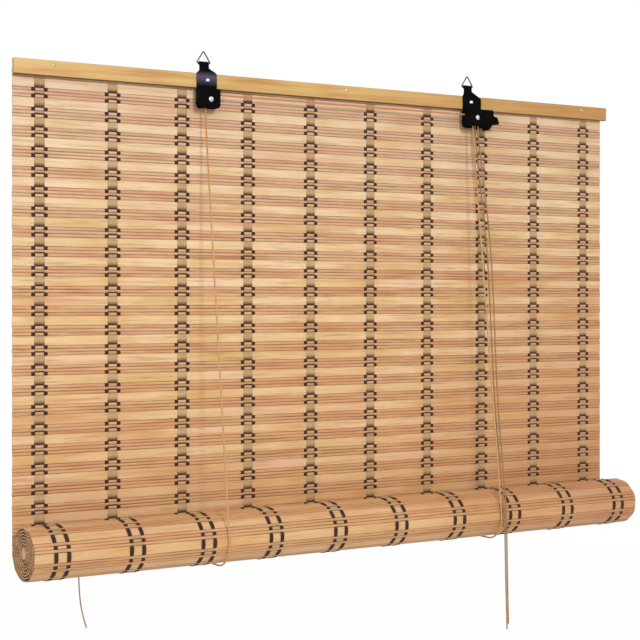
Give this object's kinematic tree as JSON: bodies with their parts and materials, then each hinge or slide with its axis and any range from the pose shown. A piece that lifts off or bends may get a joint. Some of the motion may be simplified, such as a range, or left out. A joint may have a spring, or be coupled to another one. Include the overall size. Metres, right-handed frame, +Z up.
{
  "type": "bamboo roll-up blind",
  "caption": "Woven bamboo slat blind on a wooden head rail, partly rolled up to the front, with two hanger brackets, lift cords over pulleys, a cord lock and pull cords.",
  "frame": {"origin": "middle of the back batten's back face, which lies on the wall", "axes": "+X along the width, +Y into the wall, +Z up; the room side is -Y"},
  "size_m": [1.008, 0.0972, 0.8393],
  "materials": {
    "golden_wood": "satin varnish",
    "bamboo": "natural satin",
    "plain_wood": "raw",
    "khaki_yarn": "matte",
    "dark_yarn": "matte",
    "black_metal": "gloss black",
    "steel": "bright",
    "black_plastic": "matte",
    "brown_cord": "matte",
    "khaki_cord": "matte"
  },
  "bodies": {
    "blind": {"front_batten": "golden_wood", "back_batten": "golden_wood", "batten_nails": "steel", "slat_mat": "bamboo", "khaki_warp_tapes": "khaki_yarn", "dark_warp_yarns": "dark_yarn", "bottom_dowel": "plain_wood", "left_bracket_plate": "black_metal", "left_bracket_screw": "steel", "left_pulley_housing": "black_metal", "left_axle_rivet": "black_metal", "right_bracket_plate": "black_metal", "right_bracket_screw": "steel", "lock_housing": "black_metal", "right_axle_rivet": "black_metal", "cam_rivet": "black_metal", "left_lift_cord": "brown_cord", "right_lift_cord": "brown_cord", "left_pull_cord": "khaki_cord", "right_pull_cord": "khaki_cord", "loose_cord_end": "khaki_cord"},
    "left_ring": {"left_hanger_ring": "steel"},
    "right_ring": {"right_hanger_ring": "steel"},
    "left_wheel": {"left_pulley": "black_plastic"},
    "right_rear_wheel": {"right_rear_pulley": "black_plastic"},
    "right_front_wheel": {"right_front_pulley": "black_plastic"},
    "cam": {"lock_cam": "black_metal"}
  },
  "joints": [
    {"name": "left_ring_swing", "type": "hinge", "parent": "blind", "child": "left_ring", "pos_m": [-0.231, -0.01315, 0.0245], "axis": [1, 0, 0], "range_deg": [-130, 130]},
    {"name": "right_ring_swing", "type": "hinge", "parent": "blind", "child": "right_ring", "pos_m": [0.2215, -0.01315, 0.0245], "axis": [1, 0, 0], "range_deg": [-130, 130]},
    {"name": "left_pulley_spin", "type": "hinge", "parent": "blind", "child": "left_wheel", "pos_m": [-0.2246, -0.01985, -0.026], "axis": [0, 1, 0], "continuous": true},
    {"name": "right_rear_pulley_spin", "type": "hinge", "parent": "blind", "child": "right_rear_wheel", "pos_m": [0.227, -0.01985, -0.024], "axis": [0, 1, 0], "continuous": true},
    {"name": "right_front_pulley_spin", "type": "hinge", "parent": "blind", "child": "right_front_wheel", "pos_m": [0.227, -0.02715, -0.024], "axis": [0, 1, 0], "continuous": true},
    {"name": "lock_cam_swing", "type": "hinge", "parent": "blind", "child": "cam", "pos_m": [0.2431, -0.0241, -0.022], "axis": [0, 1, 0], "range_deg": [-25, 0]}
  ],
  "couplings": [
    {"joint": "right_rear_pulley_spin", "follows": "left_pulley_spin", "ratio": 1.4},
    {"joint": "right_front_pulley_spin", "follows": "left_pulley_spin", "ratio": 1.4}
  ]
}
